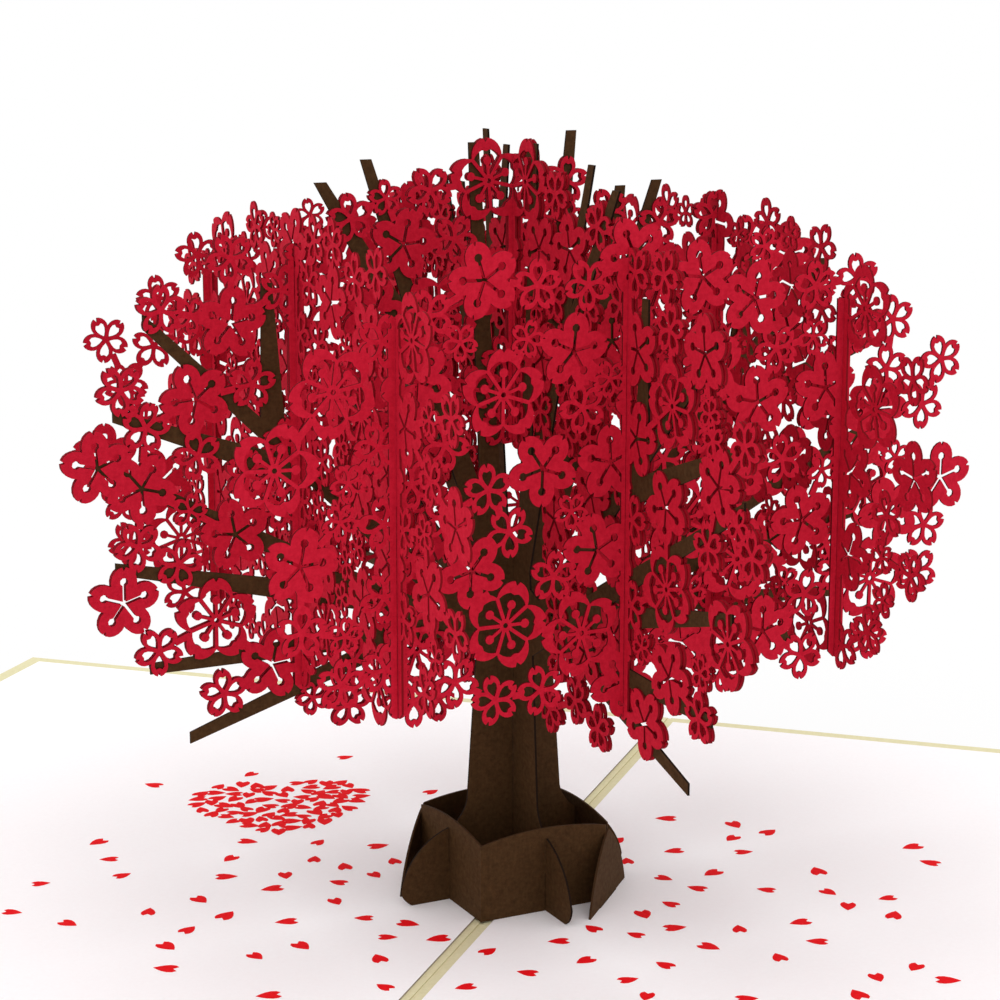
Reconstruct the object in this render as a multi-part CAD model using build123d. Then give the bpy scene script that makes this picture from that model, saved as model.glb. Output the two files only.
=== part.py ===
from build123d import *
import math
import os

# A pop-up card that stands open: a folded cover with two liners, and on its fold a tree of
# interlocked paper slices. The origin is under the middle of the open card, the fold runs
# along Y, the leaves lie to the left and right along X, and +Z is up.

# Driving dimensions, in millimetres

# Card
card_length = 178.0
leaf_width = 127.0
cover_thickness = 0.35
liner_thickness = 0.25
liner_border = 3.0
fold_strip = 2.8
score_width = 0.6
score_depth = 0.12

# Paper and fits
brown_paper = 0.3
red_paper = 0.3
slot_clearance = 0.2
bend_gap = 0.4

# Root ring: four wings in a diamond round the trunk, and a panel at each side corner
ring_reach = 14.3
wing_height = 11.0
wing_bulge = 1.2
wing_lap = 5.6
panel_half_length = 8.8
panel_height = 10.4
panel_bulge = 1.3
tab_half_width = 4.0

# Trunk slices
fin_reach = 17.8
fin_shoulder = 10.7
fin_bulge = 1.6
fin_toe = 1.7
fin_toe_rise = 2.4
fin_toe_bulge = 0.4
flare_hollow = 0.5
foot_half_width = 7.4
foot_level = 15.0
waist_half_width = 6.3
waist_level = 31.0
crotch_half_width = 4.4
crotch_level = 57.0
crotch_depth = 6.0
trunk_lap = 30.0
branch_root_width = 3.6
branch_tip_width = 1.5

# Limbs of a trunk slice: a point on the wood as (along, up), and the tip as shares of the
# middle crown's half length and of its rise or drop
limbs = {
    "low left": ((-1.0, 45.5), (-0.733, -0.928)),
    "hanging left": ((-4.0, 41.0), (-0.813, -0.667)),
    "level left": ((-3.0, 37.0), (-0.911, 0.045)),
    "rising left": ((-1.5, 36.5), (-0.808, 0.5)),
    "high left": ((-3.0, 48.0), (-0.333, 0.99)),
    "top left": ((-3.2, 50.0), (-0.094, 1.035)),
    "top right": ((3.2, 50.0), (0.132, 1.065)),
    "high right": ((3.5, 47.0), (0.338, 0.885)),
    "rising right": ((1.5, 36.5), (0.77, 0.575)),
    "level right": ((3.0, 37.0), (0.916, -0.052)),
    "hanging right": ((4.0, 41.0), (0.827, -0.702)),
    "low right": ((1.0, 45.5), (0.71, -0.865)),
}

# Side branches: the limb that each one leaves, how far along it, and the tip as above
side_branches = [
    ("level left", 0.26, (-0.878, -0.309)),
    ("rising left", 0.55, (-0.874, 0.2)),
    ("high left", 0.5, (-0.432, 0.92)),
    ("high right", 0.535, (0.25, 0.87)),
    ("rising right", 0.575, (0.902, 0.26)),
    ("level right", 0.245, (0.864, -0.397)),
    ("rising left", 0.66, (-0.55, 0.6)),
    ("top right", 0.5, (0.035, 1.02)),
    ("rising right", 0.7, (0.57, 0.64)),
]

# Lattice of foliage sheets, and where its half laps end above the widest level of the crowns
lattice_pitch = 32.3
crown_level = 66.0
outer_lap_rise = 0.0
bridge_lap_rise = 18.0
axis_lap_rise = 16.0
strip_half_width = 1.4
strip_corner = 0.8
strip_lift = 1.2

# Crowns: half length, rise above and drop below their widest level, and how square both halves are
outer_half = 54.0
outer_rise = 34.0
outer_drop = 31.0
outer_power_top = 2.5
outer_power_low = 2.9
inner_half = 66.0
inner_rise = 40.0
inner_drop = 39.0
inner_power_top = 2.0
inner_power_low = 2.75
arch_half_width = 9.5
arch_top_drop = 0.0

# Blossoms along the rim of a crown
solid_radius = 4.9
small_radius = 3.4
large_radius = 5.8
rim_spacing = 14.3
rim_kinds = ("solid", "small", "small", "large", "small")
core_inset = 4.4
core_points = 24
valley_ratio = 0.52
petal_half_angle = 17.0
petals = 5
blossom_turn = 37.0
gap_inset = 9.6
gap_radius = 2.2
gap_every = 6

# Levels and fits worked out from the sizes above
liner_top = cover_thickness + liner_thickness
ring_offset = ring_reach / math.sqrt(2)
stack = brown_paper + 2 * red_paper
outer_lap = crown_level + outer_lap_rise
bridge_lap = crown_level + bridge_lap_rise
axis_lap = crown_level + axis_lap_rise
arch_level = crown_level - arch_top_drop
outer_crown = (outer_half, (outer_rise, outer_power_top), (outer_drop, outer_power_low))
inner_crown = (inner_half, (inner_rise, inner_power_top), (inner_drop, inner_power_low))
under_all = -crown_level
over_all = crown_level + 2 * inner_rise
blossom_radius = {"solid": solid_radius, "small": small_radius, "large": large_radius}


def a_plane(offset):
    """Upright plane along the (1, 1) diagonal, moved by offset along the other diagonal."""
    c = math.sqrt(0.5)
    return Plane(origin=(-c * offset, c * offset, 0), x_dir=(c, c, 0), z_dir=(c, -c, 0))


def b_plane(offset):
    """Upright plane along the (-1, 1) diagonal, moved by offset along the other diagonal."""
    c = math.sqrt(0.5)
    return Plane(origin=(c * offset, c * offset, 0), x_dir=(-c, c, 0), z_dir=(c, c, 0))


def polygon(points):
    """Flat face with straight sides."""
    return make_face(Polyline(*points, close=True))


def upright(middle, half_width, low, high):
    """Rectangle between two levels, centred on a line."""
    return Pos(middle, (low + high) / 2) * Rectangle(2 * half_width, high - low)


def whole(profile):
    """The sheet that is left when the offcuts have fallen away."""
    return profile.faces().sort_by(SortBy.AREA)[-1]


def slot(middle, thickness, low, high):
    """Slot for paper of a thickness, between two levels."""
    return upright(middle, (thickness + slot_clearance) / 2, low, high)


def sheet(profile, plane, thickness, shift=0.0):
    """Paper cut to a profile, centred on the plane or moved along its normal."""
    return extrude(plane.offset(shift - thickness / 2) * profile, amount=thickness)


def arc_point(start, end, bulge):
    """Middle of an arc that stands off its chord to the right of start to end."""
    dx = end[0] - start[0]
    dy = end[1] - start[1]
    length = math.hypot(dx, dy)
    middle_x = (start[0] + end[0]) / 2 + bulge * dy / length
    middle_y = (start[1] + end[1]) / 2 - bulge * dx / length
    return (middle_x, middle_y)


# Card


def card_cover():
    """Cover lying open, with the fold scored on its inner face."""
    body = Pos(0, 0, cover_thickness / 2) * Box(2 * leaf_width, card_length, cover_thickness)
    score = Pos(0, 0, cover_thickness) * Box(score_width, card_length, 2 * score_depth)
    return body - score


def panel_centre():
    """Distance of a root panel from the fold, to the middle of its paper."""
    return ring_reach - bend_gap + brown_paper / 2


def card_liner(side):
    """Inner sheet of one leaf, with the slit that takes the tab of the root panel."""
    inner = fold_strip / 2
    outer = leaf_width - liner_border
    width = outer - inner
    middle = side * (inner + outer) / 2
    level = cover_thickness + liner_thickness / 2
    body = Pos(middle, 0, level) * Box(width, card_length - 2 * liner_border, liner_thickness)
    slit_width = brown_paper + slot_clearance
    slit_length = 2 * tab_half_width + slot_clearance
    slit = Pos(side * panel_centre(), 0, level) * Box(slit_width, slit_length, 2 * liner_thickness)
    return body - slit


# Root ring


def wing_profile():
    """One wing seen flat, from the fold apex at 0 to the side corner, with an arched top."""
    start = -brown_paper / 2
    end = math.sqrt(2) * ring_reach
    low = liner_top
    top = liner_top + wing_height
    arch = ThreePointArc((end, top), arc_point((end, top), (start, top), wing_bulge), (start, top))
    outline = Line((start, low), (end, low)) + Line((end, low), (end, top))
    outline += arch + Line((start, top), (start, low))
    return make_face(outline) - slot(ring_offset, brown_paper, 0, liner_top + wing_lap)


def ring_half():
    """Front half of the ring: two wings in one strip folded over the fold of the card."""
    c = math.sqrt(0.5)
    right = Plane(origin=(0, -ring_reach, 0), x_dir=(c, c, 0), z_dir=(c, -c, 0))
    left = Plane(origin=(0, -ring_reach, 0), x_dir=(-c, c, 0), z_dir=(c, c, 0))
    body = sheet(wing_profile(), right, brown_paper) + sheet(wing_profile(), left, brown_paper)
    reach = ring_reach - bend_gap
    tall = wing_height + wing_bulge
    limit = Pos(0, 0, liner_top + tall / 2) * Box(2 * reach, 3 * ring_reach, 2 * tall)
    return body & limit


def root_panel(side):
    """Side panel of the roots: two curved shoulders, and a tab through the liner."""
    low = liner_top
    top = (0, low + panel_height)
    right = (panel_half_length, low)
    left = (-panel_half_length, low)
    outline = Line(left, right)
    outline += ThreePointArc(right, arc_point(right, top, panel_bulge), top)
    outline += ThreePointArc(top, arc_point(top, left, panel_bulge), left)
    tab = upright(0, tab_half_width, cover_thickness, low + 1)
    plane = Plane(origin=(side * panel_centre(), 0, 0), x_dir=(0, 1, 0), z_dir=(1, 0, 0))
    return sheet(make_face(outline) + tab, plane, brown_paper)


# Trunk slices


def branch(root, tip):
    """Straight tapered bar from a point on the wood to the tip.

    Its end is cut upright where the bar leans out, and level where it rises.
    """
    dx = tip[0] - root[0]
    dy = tip[1] - root[1]
    length = math.hypot(dx, dy)
    across = (-dy / length, dx / length)
    cut = (0, length / dx) if abs(dx) > abs(dy) else (-length / dy, 0)
    points = []
    for end, half, side in (
        (root, -branch_root_width / 2, across),
        (tip, -branch_tip_width / 2, cut),
        (tip, branch_tip_width / 2, cut),
        (root, branch_root_width / 2, across),
    ):
        points.append((end[0] + half * side[0], end[1] + half * side[1]))
    return polygon(points)


def branch_tip(shares):
    """Place of a branch's tip, given as shares of the middle crown."""
    along, up = shares
    height = inner_rise if up > 0 else inner_drop
    return (along * inner_half, crown_level + up * height)


def all_branches():
    """Limbs from the trunk, and the side branches that leave them."""
    lines = [(root, branch_tip(shares)) for root, shares in limbs.values()]
    for limb, share, shares in side_branches:
        (x0, y0), limb_shares = limbs[limb]
        (x1, y1) = branch_tip(limb_shares)
        root = (x0 + share * (x1 - x0), y0 + share * (y1 - y0))
        lines.append((root, branch_tip(shares)))
    return [branch(root, tip) for root, tip in lines]


def trunk_outline():
    """Trunk with a root fin at each side and a crotch between its two leading limbs."""
    low = liner_top
    toe = (fin_reach - fin_toe, low)
    tip = (fin_reach, low + fin_toe_rise)
    shoulder = (ring_offset, low + fin_shoulder)
    foot = (foot_half_width, foot_level)
    waist = (waist_half_width, waist_level)
    fork = (crotch_half_width, crotch_level)
    half = Line((0, low), toe)
    half += ThreePointArc(toe, arc_point(toe, tip, fin_toe_bulge), tip)
    half += ThreePointArc(tip, arc_point(tip, shoulder, fin_bulge), shoulder)
    half += ThreePointArc(shoulder, arc_point(shoulder, foot, -flare_hollow), foot)
    half += Line(foot, waist) + Line(waist, fork) + Line(fork, (0, crotch_level - crotch_depth))
    return make_face(half + mirror(half, Plane.YZ))


def trunk_profile(slot_low, slot_high):
    """Whole slice, with the slot for the other slice and one for each wing of the ring."""
    profile = trunk_outline() + all_branches()
    profile -= slot(0, brown_paper, slot_low, slot_high)
    for side in (-1, 1):
        profile -= slot(side * ring_offset, brown_paper, liner_top + wing_lap, foot_level)
        profile -= slot(side * lattice_pitch, red_paper, bridge_lap, over_all)
    return whole(profile)


# Foliage


def crown_point(crown, inset, turn):
    """Point of a crown's rounded outline, moved inwards, at an angle in radians."""
    half, top, low = crown
    height, power = top if math.sin(turn) >= 0 else low
    across = abs(math.cos(turn)) ** (2 / power)
    tall = abs(math.sin(turn)) ** (2 / power)
    along = math.copysign((half - inset) * across, math.cos(turn))
    return (along, crown_level + math.copysign((height - inset) * tall, math.sin(turn)))


def crown_turns(crown, spacing):
    """Angles at equal distances along a crown's outline, about one spacing apart."""
    steps = 360
    turns = [2 * math.pi * i / steps for i in range(steps + 1)]
    points = [crown_point(crown, 0, turn) for turn in turns]
    reached = [0.0]
    for here, there in zip(points, points[1:]):
        reached.append(reached[-1] + math.dist(here, there))
    count = round(reached[-1] / spacing)
    found = []
    step = 0
    for i in range(count):
        target = reached[-1] * i / count
        while reached[step + 1] < target:
            step += 1
        share = (target - reached[step]) / (reached[step + 1] - reached[step])
        found.append(turns[step] + share * (turns[step + 1] - turns[step]))
    return found


def blossom(radius):
    """Five broad petals, each with two shoulders, about the origin."""
    points = []
    for petal in range(petals):
        middle = 360 * petal / petals
        for angle, reach in (
            (middle - 180 / petals, valley_ratio * radius),
            (middle - petal_half_angle, radius),
            (middle + petal_half_angle, radius),
        ):
            direction = math.radians(angle)
            points.append((reach * math.cos(direction), reach * math.sin(direction)))
    return polygon(points)


def rim_blossoms(crown):
    """Blossoms side by side along the rim, the kinds in turn."""
    flowers = []
    for i, turn in enumerate(crown_turns(crown, rim_spacing)):
        radius = blossom_radius[rim_kinds[i % len(rim_kinds)]]
        along, level = crown_point(crown, radius, turn)
        flowers.append(Pos(along, level) * Rot(0, 0, blossom_turn * i) * blossom(radius))
    return flowers


def rim_gaps(crown):
    """Openings between the rim and the next row of blossoms."""
    turns = crown_turns(crown, rim_spacing)
    gaps = []
    for i in range(1, len(turns) - 1, gap_every):
        along, level = crown_point(crown, gap_inset, (turns[i] + turns[i + 1]) / 2)
        gaps.append(Pos(along, level) * Rot(0, 0, blossom_turn * i) * RegularPolygon(gap_radius, 5))
    return gaps


def crown_reach(half, edge, along):
    """How far an edge of a crown lies from its widest level, at a place along it."""
    height, power = edge
    share = max(0.0, 1 - (abs(along) / half) ** power)
    return height * share ** (1 / power)


def slot_strip(crown, along, low):
    """Plain upright strip that stiffens a slot, with its lower end cut round."""
    length, top, _ = crown
    high = crown_level + crown_reach(length, top, along) - small_radius
    half = strip_half_width
    inner = half - strip_corner
    points = [(along - half, high), (along - half, low + strip_corner), (along - inner, low)]
    points += [(along + inner, low), (along + half, low + strip_corner), (along + half, high)]
    return polygon(points)


def crown_profile(crown, strips):
    """Crown of one sheet: a core, blossoms along its rim, strips and the openings between."""
    core = polygon([crown_point(crown, core_inset, 2 * math.pi * i / core_points)
                    for i in range(core_points)])
    profile = core + rim_blossoms(crown)
    profile -= rim_gaps(crown)
    length, _, bottom = crown
    for along in strips:
        low = crown_level - crown_reach(length, bottom, along) + strip_lift
        profile += slot_strip(crown, along, low)
    return profile


def outer_profiles():
    """Outer sheets of both directions: they hang on the middle sheets and on each other."""
    places = (-lattice_pitch, 0, lattice_pitch)
    blank = crown_profile(outer_crown, places) - slot(0, stack, under_all, bridge_lap)
    from_below = blank
    from_above = blank
    for side in (-lattice_pitch, lattice_pitch):
        from_below -= slot(side, red_paper, under_all, outer_lap)
        from_above -= slot(side, red_paper, outer_lap, over_all)
    return whole(from_below), whole(from_above)


def inner_profiles():
    """Middle sheets of both directions: they lie on the branches and cross over the trunk."""
    places = (-lattice_pitch, lattice_pitch)
    blank = crown_profile(inner_crown, places) + slot_strip(inner_crown, 0, arch_level)
    arch = upright(0, arch_half_width, under_all, arch_level - arch_half_width)
    blank -= arch
    blank -= Pos(0, arch_level - arch_half_width) * RegularPolygon(arch_half_width, 12)
    for side in places:
        blank -= slot(side, red_paper, bridge_lap, over_all)
    from_below = blank - slot(0, stack, under_all, axis_lap)
    from_above = blank - slot(0, stack, axis_lap, over_all)
    return whole(from_below), whole(from_above)


# Pieces


def build_parts():
    """All pieces of the card by name."""
    parts = {"card_cover": card_cover()}
    for name, side in (("left", -1), ("right", 1)):
        parts[f"liner_{name}"] = card_liner(side)
        parts[f"root_panel_{name}"] = root_panel(side)
    front = ring_half()
    parts["root_ring_front"] = front
    parts["root_ring_back"] = mirror(front, Plane.XZ)
    under = trunk_profile(0, trunk_lap)
    over = trunk_profile(trunk_lap, crotch_level)
    parts["trunk_slice_a"] = sheet(under, a_plane(0), brown_paper)
    parts["trunk_slice_b"] = sheet(over, b_plane(0), brown_paper)
    outer_a, outer_b = outer_profiles()
    inner_a, inner_b = inner_profiles()
    seat = (brown_paper + red_paper) / 2
    for name, side in (("front", -1), ("back", 1)):
        parts[f"foliage_a_{name}"] = sheet(outer_a, a_plane(side * lattice_pitch), red_paper)
        parts[f"foliage_b_{name}"] = sheet(outer_b, b_plane(side * lattice_pitch), red_paper)
        parts[f"foliage_a_middle_{name}"] = sheet(inner_a, a_plane(0), red_paper, -side * seat)
        parts[f"foliage_b_middle_{name}"] = sheet(inner_b, b_plane(0), red_paper, side * seat)
    return parts


os.makedirs("parts", exist_ok=True)
for part_name, solid in build_parts().items():
    export_step(solid, f"parts/{part_name}.step")
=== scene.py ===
import itertools
import logging
import math
from dataclasses import dataclass, field
from enum import Enum

import bpy
import numpy as np
from mathutils import Euler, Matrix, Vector
from mathutils.geometry import delaunay_2d_cdt


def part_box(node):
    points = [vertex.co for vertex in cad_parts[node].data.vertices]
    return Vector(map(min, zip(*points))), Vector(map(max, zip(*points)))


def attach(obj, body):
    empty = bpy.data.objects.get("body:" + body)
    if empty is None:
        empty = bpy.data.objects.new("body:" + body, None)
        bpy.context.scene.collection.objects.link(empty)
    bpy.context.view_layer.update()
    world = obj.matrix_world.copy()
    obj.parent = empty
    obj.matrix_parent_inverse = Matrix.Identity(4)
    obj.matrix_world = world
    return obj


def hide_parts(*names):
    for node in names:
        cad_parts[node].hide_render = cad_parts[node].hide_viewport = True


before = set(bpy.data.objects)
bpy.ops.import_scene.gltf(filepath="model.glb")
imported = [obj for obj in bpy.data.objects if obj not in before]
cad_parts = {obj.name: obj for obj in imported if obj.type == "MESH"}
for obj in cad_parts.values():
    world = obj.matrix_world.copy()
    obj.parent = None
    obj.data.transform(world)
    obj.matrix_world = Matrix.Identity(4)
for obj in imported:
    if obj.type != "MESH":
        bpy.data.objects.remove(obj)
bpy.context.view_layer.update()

# A pop-up card lying open, with a blossom tree of interlocked paper slices on its fold.
# Lengths are millimetres in the part's own frame until a mesh is written in metres.

MM = 0.001
BODY = "root"
UP = np.array([0.0, 0.0, 1.0])
HALF_ROOT = math.sqrt(0.5)
PETALS = 5
PETAL_STEP = 2 * math.pi / PETALS
RAY = math.pi / PETALS
DROP_PEAK = 0.77
SEARCH_STEPS = 2000
FULL_WHITE = (1.0, 1.0, 1.0, 1.0)
# Output type of the cut, which leaves out what lies in no outline, and its tolerance
CUT_INSIDE = 1
CUT_TOLERANCE = 1e-5

log = logging.getLogger("pop_up_card")

Colour = tuple[int, int, int]
Pair = tuple[float, float]
Triple = tuple[float, float, float]
# A node and its output, the node that follows and its input
Link = tuple[bpy.types.Node, str | int, bpy.types.Node, str | int]


class Diagonal(Enum):
    """Direction of a slice over the card, as a unit vector along it."""

    A = (HALF_ROOT, HALF_ROOT)
    B = (-HALF_ROOT, HALF_ROOT)

    @property
    def along(self) -> np.ndarray:
        """Unit vector along the slice."""
        return np.array([*self.value, 0.0])

    @property
    def normal(self) -> np.ndarray:
        """Unit vector square to the slice: its length times the upright."""
        return np.cross(self.along, UP)


class Shape(Enum):
    """What a closed outline does when a sheet is cut."""

    OUTLINE = 0
    WINDOW = 1
    STRIP = 2
    CUT = 3


@dataclass(frozen=True)
class Viewpoint:
    """Where the photograph was taken from: place, turns in degrees, lens, and its frame in pixels."""

    place: Triple = (105.54, -322.47, 129.11)
    yaw: float = 18.45
    pitch: float = 11.89
    lens: float = 89.41
    sensor: float = 36.0
    frame_size: float = 1000.0
    decimals: int = 1

    def ray(self, pixel: Pair) -> np.ndarray:
        """Direction through a pixel: forward, plus right and up by its distance from the middle.

        Args:
            pixel: Column and row in the photograph's frame.

        Returns:
            The direction from the camera, not of unit length.
        """
        yaw, pitch = math.radians(self.yaw), math.radians(self.pitch)
        right = np.array([math.cos(yaw), math.sin(yaw), 0.0])
        level = np.array([-math.sin(yaw), math.cos(yaw), 0.0])
        forward = math.cos(pitch) * level - math.sin(pitch) * UP
        across, down = np.array(pixel) - self.frame_size / 2
        reach = self.lens / self.sensor * self.frame_size
        return forward + (across * right - down * np.cross(right, forward)) / reach

    def on_sheet(self, pixel: Pair, diagonal: Diagonal, offset: float) -> Pair:
        """Place on a sheet that a pixel shows: the pixel's ray, followed to the plane of the sheet.

        Args:
            pixel: Column and row in the photograph's frame.
            diagonal: Direction of the sheet.
            offset: Distance of the sheet from the tree's axis along its normal.

        Returns:
            Place along the sheet and level, rounded.
        """
        camera, ray = np.array(self.place), self.ray(pixel)
        reached = (offset - camera @ diagonal.normal) / (ray @ diagonal.normal)
        point = camera + reached * ray
        along, level = np.round([point @ diagonal.along, point @ UP], self.decimals).tolist()
        return along, level


VIEW = Viewpoint()


# Meshes


def linear(colour: Colour) -> tuple[float, float, float, float]:
    """Turns a screen colour into the linear one that a shader takes.

    Args:
        colour: Red, green and blue from 0 to 255.

    Returns:
        Linear red, green and blue from 0 to 1, and full alpha.
    """
    share = np.array(colour) / 255
    low = share / 12.92
    high = ((share + 0.055) / 1.055) ** 2.4
    return (*np.where(share <= 0.04045, low, high).tolist(), 1.0)


def mesh_piece(name: str, points: np.ndarray, triangles: np.ndarray) -> bpy.types.Object:
    """Puts whole arrays into a flat-shaded mesh object at the origin.

    Args:
        name: Name of the piece.
        points: Corners in millimetres, one row each.
        triangles: Corner numbers, three a row, seen anticlockwise from outside.

    Returns:
        The object, in the scene.
    """
    mesh = bpy.data.meshes.new(name)
    mesh.vertices.add(len(points))
    mesh.vertices.foreach_set("co", (points * MM).astype(np.float32).ravel())
    mesh.loops.add(triangles.size)
    mesh.loops.foreach_set("vertex_index", triangles.astype(np.int32).ravel())
    mesh.polygons.add(len(triangles))
    starts = np.arange(0, triangles.size, 3, dtype=np.int32)
    mesh.polygons.foreach_set("loop_start", starts)
    mesh.update(calc_edges=True)
    mesh.shade_flat()
    piece = bpy.data.objects.new(name, mesh)
    bpy.context.scene.collection.objects.link(piece)
    return piece


def thicken(flat: np.ndarray, triangles: np.ndarray, origin: np.ndarray, along: np.ndarray,
            up: np.ndarray, thickness: float) -> tuple[np.ndarray, np.ndarray]:
    """Gives a flat cut its paper thickness.

    Both faces are the flat points carried half a thickness along the normal, which is along times
    up. Each edge that belongs to one triangle only becomes a wall of two triangles.

    Args:
        flat: Points of the cut as (along, up).
        triangles: Corner numbers, three a row, anticlockwise.
        origin: Place of the flat origin.
        along: Unit vector of the first flat direction.
        up: Unit vector of the second flat direction.
        thickness: Thickness of the paper.

    Returns:
        Points in space, and triangles that close the sheet.
    """
    normal = np.cross(along, up)
    middle = origin + flat[:, :1] * along + flat[:, 1:] * up
    points = np.concatenate([middle + normal * thickness / 2, middle - normal * thickness / 2])
    count = len(flat)
    start = triangles.ravel()
    end = np.roll(triangles, -1, axis=1).ravel()
    alone = ~np.isin(start * count + end, end * count + start)
    i, j = start[alone], end[alone]
    walls = [np.stack([i, i + count, j + count], 1), np.stack([i, j + count, j], 1)]
    back = triangles[:, ::-1] + count
    return points, np.concatenate([triangles, back, *walls])


def drop_width(half_width: float, turn: np.ndarray) -> np.ndarray:
    """Half width round a drop: sine times sine of the half angle, over the peak of that product."""
    return half_width * np.sin(turn) * np.sin(turn / 2) / DROP_PEAK


# Blossoms


@dataclass(frozen=True)
class BlossomCut:
    """Blossom of five notched petals, with lengths as shares of its radius."""

    radius: float
    petal_length: float
    petal_breadth: float
    notch_depth: float = 0.17
    notch_turn: float = 0.2
    arc_points: int = 6

    def outline(self) -> np.ndarray:
        """Outer cut of the blossom.

        A petal is an ellipse that ends at the radius. It is followed from its notch to the ray
        between two petals, mirrored, and turned five times.

        Returns:
            Points in order, as complex numbers.
        """
        centre = 1 - self.petal_length
        search = np.linspace(self.notch_turn, math.pi, SEARCH_STEPS)
        x = centre + self.petal_length * np.cos(search)
        y = self.petal_breadth * np.sin(search)
        last = search[np.argmax(np.arctan2(y, x) >= RAY)]
        turn = np.linspace(self.notch_turn, last, self.arc_points)
        half = centre + self.petal_length * np.cos(turn) + 1j * self.petal_breadth * np.sin(turn)
        petal = np.concatenate([half[::-1].conj(), [1 - self.notch_depth], half[:-1]])
        return self.radius * self.around(petal).ravel()

    def windows(self) -> list[np.ndarray]:
        """Openings inside the outline, as complex numbers."""
        return []

    @staticmethod
    def around(petal: np.ndarray) -> np.ndarray:
        """Turns one petal's points into those of all five, a petal a row."""
        return np.exp(1j * PETAL_STEP * np.arange(PETALS))[:, None] * petal

    @staticmethod
    def ring_arc(place: float, radius: float, neck: float, points: int) -> np.ndarray:
        """Circle on the petal's axis, open towards the centre by a neck of that half width."""
        end = math.pi - math.asin(neck / radius)
        return place + radius * np.exp(1j * np.linspace(-end, end, points))


@dataclass(frozen=True)
class SmallBlossom(BlossomCut):
    """Thin-walled blossom with a heart-ended drop in each petal."""

    inner: float = 0.15
    outer: float = 0.75
    half_width: float = 0.205
    dent: float = 0.09
    dent_turn: float = 0.4
    points: int = 12

    def windows(self) -> list[np.ndarray]:
        """Drop in each petal: its distance from the centre goes as minus the cosine, less a dent.

        Returns:
            Points of each drop, as complex numbers.
        """
        turn = np.linspace(0, 2 * math.pi, self.points, endpoint=False)
        middle = (self.inner + self.outer) / 2
        reach = middle - (self.outer - self.inner) / 2 * np.cos(turn)
        reach -= self.dent * np.clip(1 - np.abs(turn - math.pi) / self.dent_turn, 0, 1)
        return list(self.radius * self.around(reach - 1j * drop_width(self.half_width, turn)))


@dataclass(frozen=True)
class SolidBlossom(BlossomCut):
    """Full blossom with five slits from its centre, each ending in a round hole."""

    hole_place: float = 0.59
    hole_radius: float = 0.113
    slit_half: float = 0.043
    points: int = 8

    def windows(self) -> list[np.ndarray]:
        """One star: the five holes, joined by points on the rays between them.

        Returns:
            Points of the star, as complex numbers.
        """
        hole = self.ring_arc(self.hole_place, self.hole_radius, self.slit_half, self.points)
        corner = self.slit_half / math.sin(RAY) * np.exp(1j * RAY)
        return [self.radius * self.around(np.append(hole, corner)).ravel()]


@dataclass(frozen=True)
class LargeBlossom(BlossomCut):
    """Open blossom: a broad wall, five spokes, and stamens with round heads from a small hub."""

    hub: float = 0.15
    hub_hole: float = 0.06
    hub_points: int = 8
    spoke_half: float = 0.04
    head_place: float = 0.47
    head_radius: float = 0.105
    stalk_half: float = 0.036
    tip_reach: float = 0.74
    side_reach: float = 0.58
    swell: float = 2.2
    dent: float = 0.05
    points: int = 9

    def windows(self) -> list[np.ndarray]:
        """Five openings round the stamens, and the hole of the hub.

        The outer side of an opening goes as a cosine from the spoke to the petal's middle.

        Returns:
            Points of each opening and of the hole, as complex numbers.
        """
        spread = RAY - math.asin(self.spoke_half / self.side_reach)
        turn = np.linspace(-spread, spread, self.points)
        reach = self.side_reach + (self.tip_reach - self.side_reach) * np.cos(turn * self.swell)
        reach -= self.dent * (turn == 0)
        wall = reach * np.exp(1j * turn)
        near_spoke = self.hub * np.exp(1j * (RAY - math.asin(self.spoke_half / self.hub)))
        near_stalk = self.hub * np.exp(1j * math.asin(self.stalk_half / self.hub))
        head = self.ring_arc(self.head_place, self.head_radius, self.stalk_half, self.points)
        opening = np.concatenate([[near_spoke.conj()], wall, [near_spoke, near_stalk], head[::-1],
                                  [near_stalk.conj()]])
        round_hub = np.linspace(0, 2 * math.pi, self.hub_points, endpoint=False)
        hole = self.hub_hole * np.exp(1j * round_hub)
        return [*(self.radius * self.around(opening)), self.radius * hole]


class Blossom(Enum):
    """Kinds of blossom in the foliage."""

    SOLID = SolidBlossom(radius=4.9, petal_length=0.42, petal_breadth=0.365, notch_depth=0.11,
                         notch_turn=0.14)
    SMALL = SmallBlossom(radius=3.4, petal_length=0.42, petal_breadth=0.35)
    BUD = SmallBlossom(radius=2.5, petal_length=0.42, petal_breadth=0.35)
    LARGE = LargeBlossom(radius=5.8, petal_length=0.45, petal_breadth=0.395, notch_depth=0.1,
                         notch_turn=0.16, arc_points=7)


@dataclass(frozen=True)
class Bloom:
    """One blossom at its place on a sheet, turned by an angle in radians."""

    kind: Blossom
    centre: np.ndarray
    turn: float

    @property
    def radius(self) -> float:
        """Radius of its kind."""
        return self.kind.value.radius

    def cuts(self) -> list[tuple[np.ndarray, Shape]]:
        """Its outline and windows, turned and moved to its place.

        Returns:
            Points of each closed cut, one row each, and what the cut does.
        """
        lines = [(self.kind.value.outline(), Shape.OUTLINE)]
        lines += [(window, Shape.WINDOW) for window in self.kind.value.windows()]
        spin = np.exp(1j * self.turn)
        return [(self.centre + np.stack([(line * spin).real, (line * spin).imag], 1), shape)
                for line, shape in lines]


# A blossom of the photograph: its kind, the pixel at or near which it is seen, and a turn in radians
Seen = tuple[Blossom, Pair, float]


# Foliage


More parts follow.
